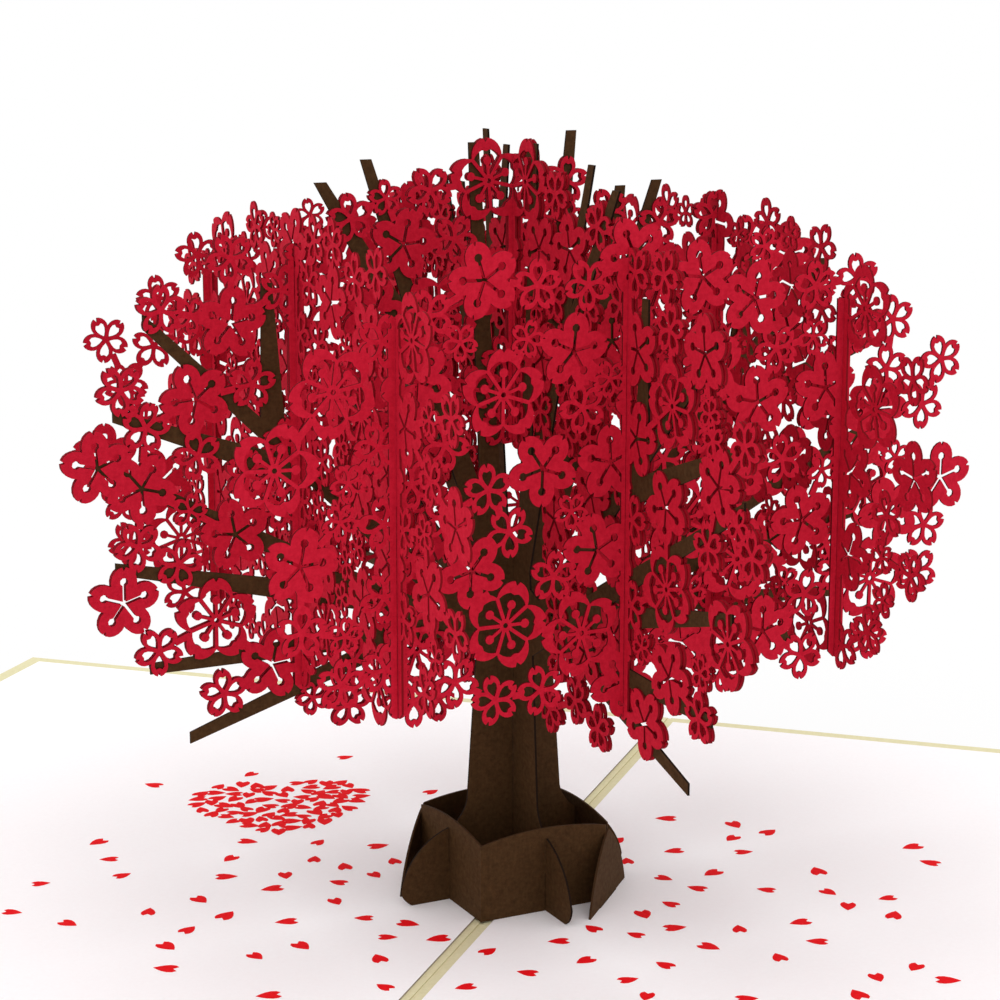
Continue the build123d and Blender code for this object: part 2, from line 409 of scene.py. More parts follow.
@dataclass(frozen=True)
class Crown:
    """Rounded outline of a sheet's foliage: a superellipse, flatter below than above."""

    half_length: float
    rise: float
    drop: float
    power_top: float
    power_low: float
    level: float = 66.0
    steps: int = 361

    def points(self, inset: float | np.ndarray, turns: np.ndarray) -> np.ndarray:
        """Points of the outline: powers of cosine and sine, times its half length and height.

        Args:
            inset: How far inwards the points are moved.
            turns: Angles in radians.

        Returns:
            Places as (along, up), one row each.
        """
        across, tall = np.cos(turns), np.sin(turns)
        power = 2 / np.where(tall >= 0, self.power_top, self.power_low)
        height = np.where(tall >= 0, self.rise, self.drop) - inset
        along = (self.half_length - inset) * np.copysign(np.abs(across) ** power, across)
        return np.stack([along, self.level + height * np.copysign(np.abs(tall) ** power, tall)], -1)

    def turns(self, spacing: float) -> np.ndarray:
        """Angles at equal distances along the outline.

        Args:
            spacing: Distance that is wanted between neighbours.

        Returns:
            Angles in radians, as many as come nearest to that spacing.
        """
        steps = np.linspace(0, 2 * math.pi, self.steps)
        points = self.points(0, steps)
        reached = np.append(0, np.cumsum(np.linalg.norm(np.diff(points, axis=0), axis=1)))
        count = round(reached[-1] / spacing)
        return np.interp(np.arange(count) * reached[-1] / count, reached, steps)

    def depth(self, points: np.ndarray) -> np.ndarray:
        """About how far inside the outline points lie, from the superellipse's own equation.

        Args:
            points: Places as (along, up), one row each.

        Returns:
            Depth of each, negative outside.
        """
        upper = points[:, 1] >= self.level
        power = np.where(upper, self.power_top, self.power_low)
        height = np.where(upper, self.rise, self.drop)
        across = np.abs(points[:, 0]) / self.half_length
        tall = np.abs(points[:, 1] - self.level) / height
        share = (across ** power + tall ** power) ** (1 / power)
        return (1 - share) * np.minimum(height, self.half_length)

    def edge(self, along: float, top: bool) -> float:
        """Level of the outline at a place along the sheet.

        Args:
            along: Place along the sheet.
            top: Whether the upper edge is meant.

        Returns:
            The level.
        """
        power, height = (self.power_top, self.rise) if top else (self.power_low, -self.drop)
        share = max(0.0, 1 - (abs(along) / self.half_length) ** power)
        return self.level + height * share ** (1 / power)


@dataclass
class FoliageSheet:
    """One sheet of blossoms, cut from crimson paper and slotted into the lattice.

    A slot is its middle, half width, and lower and upper level. An accent is a kind, how many of it
    there are at most, and how far they stand apart. Keep is the share of its radius by which a
    blossom stays clear of strips and openings.
    """

    node: str
    diagonal: Diagonal
    crown: Crown
    seed: int
    slots: list[tuple[float, float, float, float]]
    strips: tuple[float, ...]
    seen: tuple[Bloom, ...] = ()
    arch_half: float = 0.0
    arch_points: int = 17
    limb_angles: tuple[float, ...] = ()
    limb_stops: tuple[float, ...] = (25.0, 44.0)
    fork_level: float = 38.0
    pocket: float = 3.0
    paper: float = 0.3
    rim_spacing: float = 14.3
    rim_kinds: tuple[Blossom, ...] = (Blossom.SOLID, Blossom.SMALL, Blossom.SMALL, Blossom.LARGE,
                                      Blossom.SMALL)
    rim_turn: float = 37.0
    column_small: float = 0.62
    column_lean: float = 0.55
    column_step: float = 1.35
    strip_half: float = 1.1
    strip_corner: float = 0.8
    strip_lift: float = 1.5
    strip_top: float = 8.0
    strip_keep: float = 0.3
    opening_keep: float = 0.5
    touch: float = 0.86
    thinning: float = 0.15
    fill: tuple[Blossom, ...] = (Blossom.SMALL, Blossom.BUD)
    trials: int = 9000
    tie_half: float = 0.45
    tie_root: float = 0.7
    bud_gap: float = 1.3
    accents: tuple[tuple[Blossom, int, float], ...] = ((Blossom.LARGE, 5, 22.0),
                                                       (Blossom.SOLID, 18, 10.5))

    def lay_out(self) -> list[Bloom]:
        """Places the blossoms: those seen, the rim, columns at the slots, then all between them.

        Returns:
            The blossoms in the order of their placing.
        """
        placed = [*self.seen, *(bloom for bloom in self.rim() if self.clear(bloom, self.seen))]
        draw = np.random.default_rng(self.seed)
        placed += self.beside_slots(draw, placed)
        return placed + self.between(draw, placed)

    def rim(self) -> list[Bloom]:
        """Blossoms round the rim, in a repeated order of kinds, each just inside the outline.

        Returns:
            The blossoms at equal distances.
        """
        turns = self.crown.turns(self.rim_spacing)
        kinds = list(itertools.islice(itertools.cycle(self.rim_kinds), len(turns)))
        centres = self.crown.points(np.array([kind.value.radius for kind in kinds]), turns)
        spins = math.radians(self.rim_turn) * np.arange(len(turns))
        return [Bloom(kind, centre, spin) for kind, centre, spin in zip(kinds, centres, spins)]

    def clear(self, bloom: Bloom, others: tuple[Bloom, ...] | list[Bloom]) -> bool:
        """Whether a blossom overlaps none of the others by more than the touching share."""
        return all(np.linalg.norm(bloom.centre - other.centre) > self.touch * (bloom.radius + other.radius)
                   for other in others)

    def beside_slots(self, draw: np.random.Generator, placed: list[Bloom]) -> list[Bloom]:
        """Column of blossoms down each strip, a little to either side in turn, so that it shows no edge.

        Args:
            draw: Source of the turns and of the order of the kinds.
            placed: Blossoms that the column keeps off.

        Returns:
            The blossoms of all columns.
        """
        column = []
        for strip in self.strips:
            low, high = self.strip_span(strip)
            side = draw.choice((-1, 1))
            level = low - self.strip_lift
            while level < high:
                kind = Blossom.SMALL if draw.random() < self.column_small else Blossom.SOLID
                radius = kind.value.radius
                centre = np.array([strip + side * self.column_lean * radius, level + radius])
                bloom = Bloom(kind, centre, draw.uniform(0, PETAL_STEP))
                if self.clear(bloom, placed):
                    column.append(bloom)
                side = -side
                level += self.column_step * radius
        return column

    def between(self, draw: np.random.Generator, placed: list[Bloom]) -> list[Bloom]:
        """Accents all over the sheet, then small blossoms in what room is left.

        Spots are drawn evenly over the crown. A blossom goes to the tightest spot that has room for
        it, and leaves less room to the others. Towards the ends of the sheet they stand further apart.

        Args:
            draw: Source of the spots and turns.
            placed: Blossoms that are there already.

        Returns:
            The new blossoms.
        """
        crown = self.crown
        low = (-crown.half_length, crown.level - crown.drop)
        spots = draw.uniform(low, (crown.half_length, crown.level + crown.rise), (self.trials, 2))
        spots = spots[crown.depth(spots) > Blossom.SMALL.value.radius]
        room = self.room(spots)
        touch = self.touch + self.thinning * (np.abs(spots[:, 0]) / crown.half_length)
        for bloom in placed:
            away = np.linalg.norm(spots - bloom.centre, axis=1)
            room = np.minimum(room, away / touch - bloom.radius)
        found = []
        fillers = ((kind, self.trials, 0.0) for kind in self.fill)
        for kind, limit, spacing in (*self.accents, *fillers):
            radius = kind.value.radius
            apart = np.full(len(spots), np.inf)
            for _ in range(limit):
                fits = (room >= radius) & (apart >= spacing)
                if not fits.any():
                    break
                centre = spots[np.argmin(np.where(fits, room, np.inf))]
                away = np.linalg.norm(spots - centre, axis=1)
                apart = np.minimum(apart, away)
                room = np.minimum(room, away / touch - radius)
                found.append(Bloom(kind, centre, draw.uniform(0, PETAL_STEP)))
        return found

    def room(self, spots: np.ndarray) -> np.ndarray:
        """Room that strips, the arch and the bare stretches of the limbs leave.

        Args:
            spots: Places as (along, up), one row each.

        Returns:
            Largest radius that each spot can take.
        """
        room = np.full(len(spots), np.inf)
        for strip in self.strips:
            low, high = self.strip_span(strip)
            beside = np.abs(spots[:, 0] - strip) - self.strip_half
            past = np.maximum(spots[:, 1] - high, low - spots[:, 1])
            room = np.minimum(room, np.maximum(beside, past) / self.strip_keep)
        if self.arch_half:
            below = np.maximum(spots[:, 1] - (self.crown.level - self.arch_half), 0)
            away = np.hypot(spots[:, 0], below)
            room = np.minimum(room, (away - self.arch_half) / self.opening_keep)
        for angle, stop in itertools.product(np.radians(self.limb_angles), self.limb_stops):
            centre = (stop * math.cos(angle), self.fork_level + stop * math.sin(angle))
            away = np.linalg.norm(spots - centre, axis=1)
            room = np.minimum(room, (away - self.pocket) / self.opening_keep)
        return room

    def gaps(self, placed: list[Bloom]) -> tuple[np.ndarray, np.ndarray]:
        """Gaps between blossoms, and between blossoms and strips.

        The gap is endless between two strips, and between two blossoms that a slot parts.

        Args:
            placed: The blossoms.

        Returns:
            Gap of every pair, with the blossoms first and the strips last, and the level at which
            each blossom is nearest to each strip.
        """
        centres = np.array([bloom.centre for bloom in placed])
        radii = np.array([bloom.radius for bloom in placed])
        count, total = len(placed), len(placed) + len(self.strips)
        gap = np.full((total, total), np.inf)
        apart = np.linalg.norm(centres[:, None] - centres[None], axis=2)
        gap[:count, :count] = apart - radii[:, None] - radii[None]
        level = (centres[:, None, 1] + centres[None, :, 1]) / 2
        for middle, _, low, high in self.slots:
            side = np.sign(centres[:, 0] - middle)
            parted = (side[:, None] * side[None] < 0) & (level > low) & (level < high)
            gap[:count, :count][parted] = np.inf
        low, high = np.array([self.strip_span(strip) for strip in self.strips]).T
        seat = np.clip(centres[:, 1:], low, high)
        away = np.hypot(centres[:, :1] - np.array(self.strips), centres[:, 1:] - seat)
        gap[:count, count:] = away - self.strip_half - radii[:, None]
        gap[count:, :count] = gap[:count, count:].T
        return gap, seat

    def ties(self, placed: list[Bloom]) -> tuple[list[np.ndarray], list[Bloom]]:
        """Short links that hold every blossom: a tree grown from the last strip by the smallest gaps.

        Args:
            placed: The blossoms.

        Returns:
            Outline of each link, where two neighbours would only just meet, and a bud on each long one.
        """
        gap, seat = self.gaps(placed)
        count, total = len(placed), len(gap)
        waiting = np.ones(total, bool)
        waiting[-1] = False
        nearest, parent = gap[-1].copy(), np.full(total, total - 1)
        links, buds = [], []
        for _ in range(total - 1):
            i = np.argmin(np.where(waiting, nearest, np.inf))
            waiting[i] = False
            child, other = (i, parent[i]) if i < count else (parent[i], i)
            bloom = placed[child]
            if other < count:
                target, root = placed[other].centre, self.tie_root * placed[other].radius
            else:
                target, root = np.array([self.strips[other - count], seat[child, other - count]]), 0
            span = target - bloom.centre
            length = np.linalg.norm(span)
            start, end = self.tie_root * bloom.radius, length - root
            if end > start:
                unit = span / length
                side = self.tie_half * np.array([-unit[1], unit[0]])
                here, there = bloom.centre + start * unit, bloom.centre + end * unit
                links.append(np.array([here - side, there - side, there + side, here + side]))
                if nearest[i] > self.bud_gap:
                    place = bloom.centre + (bloom.radius + nearest[i] / 2) * unit
                    buds.append(Bloom(Blossom.BUD, place, math.atan2(unit[1], unit[0])))
            closer = waiting & (gap[i] < nearest)
            nearest[closer] = gap[i, closer]
            parent[closer] = i
        return links, buds

    def strip_span(self, strip: float) -> Pair:
        """Extent of a strip, which starts at the arch's top where it stands over the arch.

        Args:
            strip: Place of the strip along the sheet.

        Returns:
            Levels of its lower and upper end.
        """
        over_arch = self.arch_half and strip == 0
        low = self.crown.level if over_arch else self.crown.edge(strip, False) + self.strip_lift
        return low, self.crown.edge(strip, True) - self.strip_top

    def strip_outline(self, strip: float) -> np.ndarray:
        """Plain strip beside a slot, with the corners of its lower end cut off.

        Args:
            strip: Place of the strip along the sheet.

        Returns:
            Corners as (along, up), anticlockwise.
        """
        low, high = self.strip_span(strip)
        half, inner = self.strip_half, self.strip_half - self.strip_corner
        across = np.array([-half, -half, -inner, inner, half, half])
        level = np.array([high, low + self.strip_corner, low, low, low + self.strip_corner, high])
        return np.stack([strip + across, level], 1)

    def arch_outline(self) -> np.ndarray:
        """Round-topped opening that leaves the trunk bare: a half circle on two uprights.

        Returns:
            Points as (along, up), anticlockwise.
        """
        turn = np.linspace(0, math.pi, self.arch_points)
        arc = np.stack([self.arch_half * np.cos(turn),
                        self.crown.level - self.arch_half + self.arch_half * np.sin(turn)], 1)
        return np.concatenate([[(self.arch_half, 0)], arc, [(-self.arch_half, 0)]])

    def outlines(self) -> list[tuple[np.ndarray, Shape, int]]:
        """Every closed cut of the sheet.

        Returns:
            Points of each cut, what it does, and the number of the blossom that it belongs to.
        """
        placed = self.lay_out()
        links, buds = self.ties(placed)
        found = [(points, shape, i) for i, bloom in enumerate(placed + buds)
                 for points, shape in bloom.cuts()]
        found += [(self.strip_outline(strip), Shape.STRIP, 0) for strip in self.strips]
        found += [(link, Shape.STRIP, 0) for link in links]
        for middle, half, low, high in self.slots:
            box = np.array([(-half, low), (half, low), (half, high), (-half, high)])
            found.append((box + (middle, 0), Shape.CUT, 0))
        if self.arch_half:
            found.append((self.arch_outline(), Shape.CUT, 0))
        return found

    def cut(self) -> tuple[np.ndarray, np.ndarray]:
        """Cuts the sheet along all outlines at once.

        A triangle of the cut plane is paper where it lies in a blossom and in none of that
        blossom's windows, or in a strip, and in no slot. What hangs on nothing falls away.

        Returns:
            Flat points, and the triangles that are paper.
        """
        outlines = self.outlines()
        sizes = [len(points) for points, _, _ in outlines]
        numbers = np.split(np.arange(sum(sizes)), np.cumsum(sizes)[:-1])
        corners = np.concatenate([points for points, _, _ in outlines])
        flat, _, faces, _, _, inside = delaunay_2d_cdt(
            [Vector(corner) for corner in corners.tolist()], [], [row.tolist() for row in numbers],
            CUT_INSIDE, CUT_TOLERANCE, True)
        flat = np.array([tuple(point) for point in flat])
        triangles = np.array(faces)
        counts = np.fromiter(map(len, inside), int, len(inside))
        owner = np.repeat(np.arange(len(inside)), counts)
        source = np.fromiter(itertools.chain.from_iterable(inside), int, counts.sum())
        shape = np.array([shape.value for _, shape, _ in outlines])[source]
        key = owner * len(outlines) + np.array([blossom for _, _, blossom in outlines])[source]
        covered = key[shape == Shape.OUTLINE.value]
        covered = covered[~np.isin(covered, key[shape == Shape.WINDOW.value])]
        paper = np.zeros(len(triangles), bool)
        paper[covered // len(outlines)] = True
        paper[owner[shape == Shape.STRIP.value]] = True
        paper[owner[shape == Shape.CUT.value]] = False
        held = self.held(triangles[paper], len(flat))
        log.info("%s: %.1f %% of the cut holds together", self.node, 100 * len(held) / paper.sum())
        return flat, held

    @staticmethod
    def held(triangles: np.ndarray, count: int) -> np.ndarray:
        """Keeps the largest connected part: corners take the lowest number that they can reach.

        Args:
            triangles: Corner numbers, three a row.
            count: Number of corners.

        Returns:
            The triangles of that part.
        """
        label = np.arange(count)
        while True:
            lowest = label[triangles].min(axis=1)
            before = label.copy()
            np.minimum.at(label, triangles.ravel(), np.repeat(lowest, 3))
            label = label[label]
            if (label == before).all():
                break
        group = label[triangles[:, 0]]
        return triangles[group == np.bincount(group).argmax()]

    def build(self) -> bpy.types.Object:
        """Cuts the sheet and sets it where its solid stands.

        Returns:
            The piece, riding on the body and standing for the solid.
        """
        flat, triangles = self.cut()
        used, places = np.unique(triangles, return_inverse=True)
        low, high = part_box(self.node)
        middle = np.array((low + high) / 2) / MM
        origin = self.diagonal.normal * (middle @ self.diagonal.normal)
        points, faces = thicken(flat[used], places.reshape(triangles.shape), origin, self.diagonal.along,
                                UP, self.paper)
        piece = mesh_piece(f"{self.node}_cut", points, faces)
        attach(piece, BODY)
        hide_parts(self.node)
        return piece


@dataclass
class Foliage:
    """The eight sheets of the lattice, their half laps, and blossoms that stand out in the photograph.

    The crest is on all middle sheets, and the flank on those in direction A. The breast is on the
    outer sheet in front in that direction, and mirrored on the one behind.
    """

    pitch: float = 32.3
    paper: float = 0.3
    stack: float = 0.9
    clearance: float = 0.2
    outer: Crown = Crown(half_length=54.0, rise=34.0, drop=31.0, power_top=2.5, power_low=2.9)
    inner: Crown = Crown(half_length=66.0, rise=40.0, drop=39.0, power_top=2.0, power_low=2.75)
    lap: float = 66.0
    bridge_lap: float = 84.0
    axis_lap: float = 82.0
    top: float = 120.0
    arch_half: float = 9.5
    middle_lift: float = 5.5
    limb_angles: tuple[float, ...] = (28.0, 44.0, 136.0, 152.0)
    seed_step: int = 11
    outer_seed: int = 3
    middle_seed: int = 8
    crest: tuple[Seen, ...] = (
        (Blossom.LARGE, (487, 180.5), 0.4), (Blossom.SMALL, (565, 180), 0.2),
        (Blossom.SMALL, (429, 190), 0.9), (Blossom.SMALL, (350, 218), 0.5),
        (Blossom.SOLID, (402, 244), 0.1), (Blossom.SMALL, (607, 212), 0.7),
        (Blossom.SMALL, (658, 222), 0.3))
    breast: tuple[Seen, ...] = (
        (Blossom.LARGE, (503, 395), 0.3), (Blossom.LARGE, (505, 625), 0.0),
        (Blossom.LARGE, (333, 392), 0.8), (Blossom.SOLID, (542, 469), 0.9),
        (Blossom.SOLID, (484, 280), 0.6), (Blossom.SOLID, (573, 351), 0.2),
        (Blossom.SOLID, (596, 550), 0.5), (Blossom.SOLID, (300, 567), 0.1),
        (Blossom.SMALL, (488, 490), 0.4), (Blossom.SMALL, (509, 532), 1.0),
        (Blossom.SMALL, (428, 316), 0.7), (Blossom.SMALL, (553, 576), 0.2),
        (Blossom.SMALL, (455, 682), 0.9), (Blossom.SMALL, (537, 285), 0.3),
        (Blossom.SMALL, (540, 690), 0.6), (Blossom.SOLID, (940, 477), 0.3),
        (Blossom.SMALL, (921.5, 404), 0.9), (Blossom.SMALL, (923.5, 524.5), 0.2),
        (Blossom.SMALL, (892.5, 319), 0.5), (Blossom.SMALL, (916, 571), 0.8),
        (Blossom.LARGE, (869.5, 578), 0.3), (Blossom.SMALL, (866, 635.5), 1.1),
        (Blossom.SOLID, (888, 512), 0.7), (Blossom.SOLID, (470.5, 571.5), 0.9),
        (Blossom.SOLID, (702, 277), 0.5), (Blossom.SOLID, (753.5, 298.5), 0.1),
        (Blossom.SMALL, (776, 348), 0.8), (Blossom.SOLID, (757, 402), 0.4),
        (Blossom.SOLID, (732, 476), 0.9), (Blossom.LARGE, (681, 520), 0.2),
        (Blossom.SOLID, (801, 520), 0.6), (Blossom.SOLID, (762, 630), 0.3),
        (Blossom.SMALL, (722.5, 668), 1.0), (Blossom.SMALL, (815.5, 286), 0.4))
    flank: tuple[Seen, ...] = (
        (Blossom.SMALL, (160, 310), 0.3), (Blossom.SMALL, (120, 391), 0.9),
        (Blossom.SOLID, (195, 399), 0.7), (Blossom.SMALL, (145, 428), 0.1),
        (Blossom.SMALL, (197, 455), 0.6), (Blossom.SOLID, (96.5, 468), 0.4),
        (Blossom.SOLID, (140.5, 488.5), 1.0), (Blossom.SMALL, (251, 384), 0.2),
        (Blossom.SMALL, (138, 547), 0.8), (Blossom.SMALL, (178, 563.5), 0.0),
        (Blossom.SOLID, (234, 534), 0.5), (Blossom.SOLID, (123.5, 603), 0.3),
        (Blossom.LARGE, (215.5, 619.5), 0.3), (Blossom.SMALL, (159, 651), 0.9),
        (Blossom.SMALL, (224, 693), 0.4), (Blossom.SOLID, (271.5, 663.5), 0.1),
        (Blossom.SMALL, (280, 505), 0.7), (Blossom.SOLID, (786.5, 254.5), 0.2),
        (Blossom.SMALL, (748, 237.5), 0.6), (Blossom.SMALL, (712, 215), 0.3),
        (Blossom.SMALL, (816, 286), 1.0))

    @staticmethod
    def on_sheet(seen: tuple[Seen, ...], offset: float, side: int = 1) -> tuple[Bloom, ...]:
        """Puts blossoms of the photograph on a sheet of direction A.

        Args:
            seen: Kind, pixel and turn of each.
            offset: Distance of the sheet from the tree's axis along its normal.
            side: One, or minus one to mirror their places for the sheet on the far side.

        Returns:
            The blossoms at their places.
        """
        placed = [(kind, VIEW.on_sheet(pixel, Diagonal.A, offset), turn) for kind, pixel, turn in seen]
        return tuple(Bloom(kind, np.array([side * along, level]), turn)
                     for kind, (along, level), turn in placed)

    def sheets(self) -> list[FoliageSheet]:
        """Outer sheets slotted from below at the middle; middle sheets from above at the pitch.

        Returns:
            The sheets in direction A, then those in direction B.
        """
        thin, thick = (self.paper + self.clearance) / 2, (self.stack + self.clearance) / 2
        sides = (-self.pitch, self.pitch)
        crest, flank = self.on_sheet(self.crest, 0.0), self.on_sheet(self.flank, 0.0)
        made = []
        for order, diagonal in enumerate(Diagonal):
            below = diagonal is Diagonal.A
            outer_span = (0, self.lap) if below else (self.lap, self.top)
            axis_span = (0, self.axis_lap) if below else (self.axis_lap, self.top)
            outer_slots = [(side, thin, *outer_span) for side in sides] + [(0, thick, 0, self.bridge_lap)]
            inner_slots = [(side, thin, self.bridge_lap, self.top) for side in sides]
            inner_slots.append((0, thick, *axis_span))
            for end, side in (("front", 1), ("back", -1)):
                breast = self.on_sheet(self.breast, self.pitch, side) if below else ()
                made.append(FoliageSheet(
                    f"foliage_{diagonal.name.lower()}_{end}", diagonal, self.outer,
                    self.seed_step * len(made) + self.outer_seed, outer_slots, (*sides, 0.0), breast))
                made.append(FoliageSheet(
                    f"foliage_{diagonal.name.lower()}_middle_{end}", diagonal, self.inner,
                    self.seed_step * order + self.middle_seed, inner_slots, (*sides, 0.0),
                    crest + flank if below else crest, arch_half=self.arch_half,
                    limb_angles=self.limb_angles, strip_lift=self.middle_lift))
        return made


# Print


@dataclass
class PrintedPetals:
    """Loose petals printed on a liner, thrown thickest round the tree, and a heart of them.

    Spread and limit are shares of the reach. Heart margin and heart rim are values of the heart curve.
    """

    node: str
    side: int
    seed: int
    heart: bool = False
    count: int = 48
    length: float = 3.3
    half_width: float = 1.15
    notch: float = 0.75
    notch_turn: float = 0.1
    ink: float = 0.02
    points: int = 14
    sizes: Pair = (0.85, 1.1)
    reach: Pair = (64.0, 42.0)
    spacing: float = 5.5
    spread: float = 0.5
    limit: Pair = (1.1, 1.2)
    throws: int = 4000
    bare_fold: float = 3.5
    bare_root: float = 19.0
    heart_centre: Pair = (-45.2, 20.4)
    heart_half: Pair = (11.6, 11.3)
    heart_tilt: float = 26.0
    heart_spacing: float = 2.1
    heart_throws: int = 6000
    heart_field_half: float = 1.6
    heart_margin: float = 0.6
    heart_rim: float = -0.1

    def petal(self) -> np.ndarray:
        """One petal: a drop whose round end has a notch.

        Returns:
            Points in order about its middle, as complex numbers.
        """
        turn = np.linspace(0, 2 * math.pi, self.points, endpoint=False)
        notched = np.abs(turn - math.pi) < self.notch_turn
        reach = -self.length / 2 * np.cos(turn) - self.notch * notched
        return reach + 1j * drop_width(self.half_width, turn)

    def heart_value(self, spots: np.ndarray) -> np.ndarray:
        """Heart curve: (x2 + y2 - 1) cubed less x2 times y cubed, in the heart's own turned axes.

        Args:
            spots: Places on the liner, one row each.

        Returns:
            Value at each spot, negative inside.
        """
        turned = spots[:, 0] + 1j * spots[:, 1] - complex(*self.heart_centre)
        turned = turned * np.exp(-1j * math.radians(self.heart_tilt))
        x, y = turned.real / self.heart_half[0], turned.imag / self.heart_half[1]
        return (x ** 2 + y ** 2 - 1) ** 3 - x ** 2 * y ** 3

    def places(self) -> np.ndarray:
        """Draws the loose petals about the tree, clear of fold, root and heart, and fills the heart.

        Returns:
            Middle of each petal, one row each.
        """
        draw = np.random.default_rng(self.seed)
        width, length = self.reach
        spots = draw.normal(0, self.spread, (self.throws, 2)) * self.reach
        spots[:, 0] = self.side * np.abs(spots[:, 0])
        ok = (np.abs(spots[:, 0]) > self.bare_fold) & (np.linalg.norm(spots, axis=1) > self.bare_root)
        ok &= (np.abs(spots[:, 0]) < width * self.limit[0]) & (np.abs(spots[:, 1]) < length * self.limit[1])
        if self.heart:
            ok &= self.heart_value(spots) > self.heart_margin
        chosen = self.apart(spots[ok], self.spacing)[:self.count]
        if self.heart:
            near = draw.uniform(-self.heart_field_half, self.heart_field_half, (self.heart_throws, 2))
            near = near * self.heart_half[0] + self.heart_centre
            value = self.heart_value(near)
            rim, inside = (value < 0) & (value > self.heart_rim), value <= self.heart_rim
            near = np.concatenate([near[rim], near[inside]])
            chosen = np.concatenate([chosen, self.apart(near, self.heart_spacing)])
        return chosen

    @staticmethod
    def apart(spots: np.ndarray, spacing: float) -> np.ndarray:
        """Takes spots in turn and drops those too near to an earlier one.

        Args:
            spots: Places, one row each.
            spacing: Least distance between two that stay.

        Returns:
            The spots that stay.
        """
        left, chosen = spots, []
        while len(left):
            chosen.append(left[0])
            left = left[np.linalg.norm(left - left[0], axis=1) > spacing]
        return np.array(chosen)

    def build(self) -> bpy.types.Object:
        """Lays the petals on their liner as thin fields of ink, each lifted by a hair of its own.

        Returns:
            The piece, riding on the body.
        """
        places = self.places()
        draw = np.random.default_rng(self.seed + 1)
        spin = np.exp(1j * draw.uniform(0, 2 * math.pi, len(places)))
        size = draw.uniform(*self.sizes, len(places))
        shape = np.append(self.petal(), 0)
        plane = (spin * size)[:, None] * shape + (places[:, 0] + 1j * places[:, 1])[:, None]
        flat = np.stack([plane.real.ravel(), plane.imag.ravel()], 1)
        rim = np.arange(self.points)
        fan = np.stack([np.full(self.points, self.points), np.roll(rim, -1), rim], 1)
        triangles = (fan + (self.points + 1) * np.arange(len(places))[:, None, None]).reshape(-1, 3)
        triangles = self.anticlockwise(flat, triangles)
        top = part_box(self.node)[1].z / MM
        points, faces = thicken(flat, triangles, np.array([0, 0, top + self.ink / 2]),
                                np.array([1.0, 0, 0]), np.array([0, 1.0, 0]), self.ink)
        lift = np.repeat(draw.uniform(0, self.ink, len(places)), self.points + 1)
        points[:, 2] += np.tile(lift, 2)
        piece = mesh_piece(f"{self.node}_print", points, faces)
        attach(piece, BODY)
        return piece

    @staticmethod
    def anticlockwise(flat: np.ndarray, triangles: np.ndarray) -> np.ndarray:
        """Turns round each triangle whose signed area is negative.

        Args:
            flat: Flat points, one row each.
            triangles: Corner numbers, three a row.

        Returns:
            The triangles, all anticlockwise.
        """
        a, b, c = (flat[triangles[:, k]] for k in range(3))
        area = (b - a)[:, 0] * (c - a)[:, 1] - (b - a)[:, 1] * (c - a)[:, 0]
        return np.where((area < 0)[:, None], triangles[:, ::-1], triangles)


# Finishes

# Stretch of the two layers of streaks, their share of the tone, and where the tone starts and ends
STREAKS = ((1.0, 1.0, 0.22), (0.3, 0.3, 1.0))
STREAK_SHARE = 0.25
TONE_RANGE = (0.5, 1.0)
# How square to its face a sheet's surface is where the darker cut edge starts and where it is full; that
# dark is partly the paper's own cut edge and partly painted shade
EDGE_RANGE = (0.6, 0.4)
# Places of a colour mix node's factor and two colours among its inputs, and of its result
MIX_FACTOR, MIX_FIRST, MIX_SECOND, MIX_RESULT = 0, 6, 7, 2


def add_node(tree: bpy.types.NodeTree, kind: str, **values: object) -> bpy.types.Node:
    """Adds a node; a keyword names an input, with its spaces as underscores, or a setting.

    Args:
        tree: Tree that takes the node.
        kind: Blender's name of the node type.
        values: Values of inputs and settings.

    Returns:
        The node.
    """
    node = tree.nodes.new(kind)
    for name, value in values.items():
        words = name.replace("_", " ")
        found = [socket for socket in node.inputs if socket.name.lower() == words.lower()]
        if found:
            found[0].default_value = value
        else:
            setattr(node, name, value)
    return node


def join(tree: bpy.types.NodeTree, *links: Link) -> None:
    """Links the sockets of nodes.

    Args:
        tree: Tree of the nodes.
        links: The links, with sockets by name or place.
    """
    for node, output, follower, entry in links:
        tree.links.new(node.outputs[output], follower.inputs[entry])


def group_ends(tree: bpy.types.NodeTree, vectors: tuple[str, ...], values: tuple[str, ...],
               results: tuple[str, ...]) -> tuple[bpy.types.Node, bpy.types.Node]:
    """Gives a group its named sockets.

    Args:
        tree: Empty tree of the group.
        vectors: Names of the inputs that are vectors.
        values: Names of the inputs that are values.
        results: Names of the outputs, which are values.

    Returns:
        The nodes of its inputs and of its outputs.
    """
    for side, kind, names in (("INPUT", "NodeSocketVector", vectors), ("INPUT", "NodeSocketFloat", values),
                              ("OUTPUT", "NodeSocketFloat", results)):
        for name in names:
            tree.interface.new_socket(name, in_out=side, socket_type=kind)
    return add_node(tree, "NodeGroupInput"), add_node(tree, "NodeGroupOutput")


class EffectGroup(Enum):
    """Shader effects that several papers share."""

    FIBRE = "paper_fibre"
    EDGE = "cut_edge_and_shade"

    def tree(self) -> bpy.types.NodeTree:
        """The group's node tree, built when first asked for.

        Returns:
            The tree.
        """
        made = bpy.data.node_groups.get(self.value)
        if made is None:
            made = bpy.data.node_groups.new(self.value, "ShaderNodeTree")
            {EffectGroup.FIBRE: fibre_nodes, EffectGroup.EDGE: edge_nodes}[self](made)
        return made


